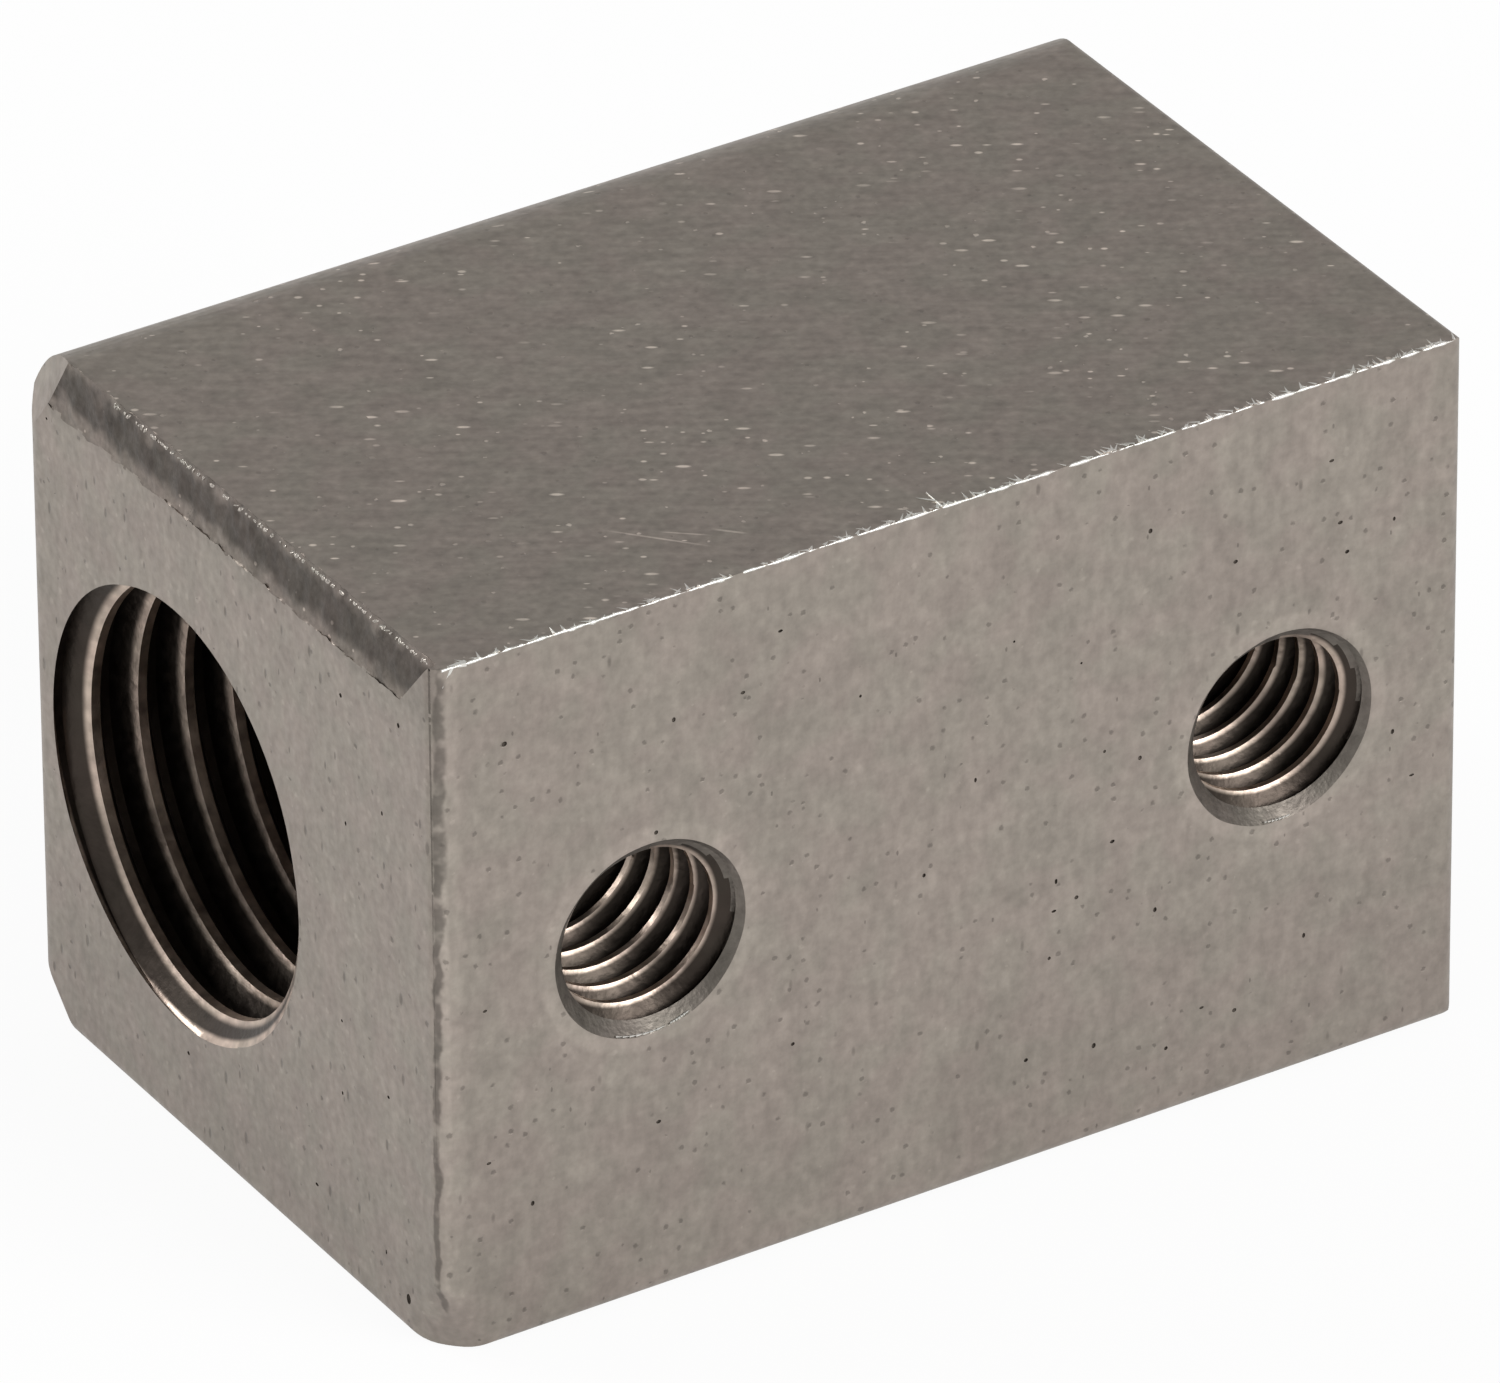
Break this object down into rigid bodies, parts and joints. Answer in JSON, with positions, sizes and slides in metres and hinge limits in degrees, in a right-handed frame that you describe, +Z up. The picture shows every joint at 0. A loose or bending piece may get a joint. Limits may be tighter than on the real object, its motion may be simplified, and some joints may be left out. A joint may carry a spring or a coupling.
{
  "type": "mounting block",
  "caption": "Machined steel block tapped through its length, with tapped holes for locking or fixing screws in its front face.",
  "frame": {"origin": "centre of the base", "axes": "+X along the block from the bevelled end to the plain end, -Y out of the face with the screw holes, +Z up"},
  "size_m": [0.033, 0.022, 0.022],
  "materials": {
    "milled_steel": "matt, warm grey, hand deburred"
  },
  "bodies": {
    "root": {"mounting_block": "milled_steel"}
  },
  "joints": []
}
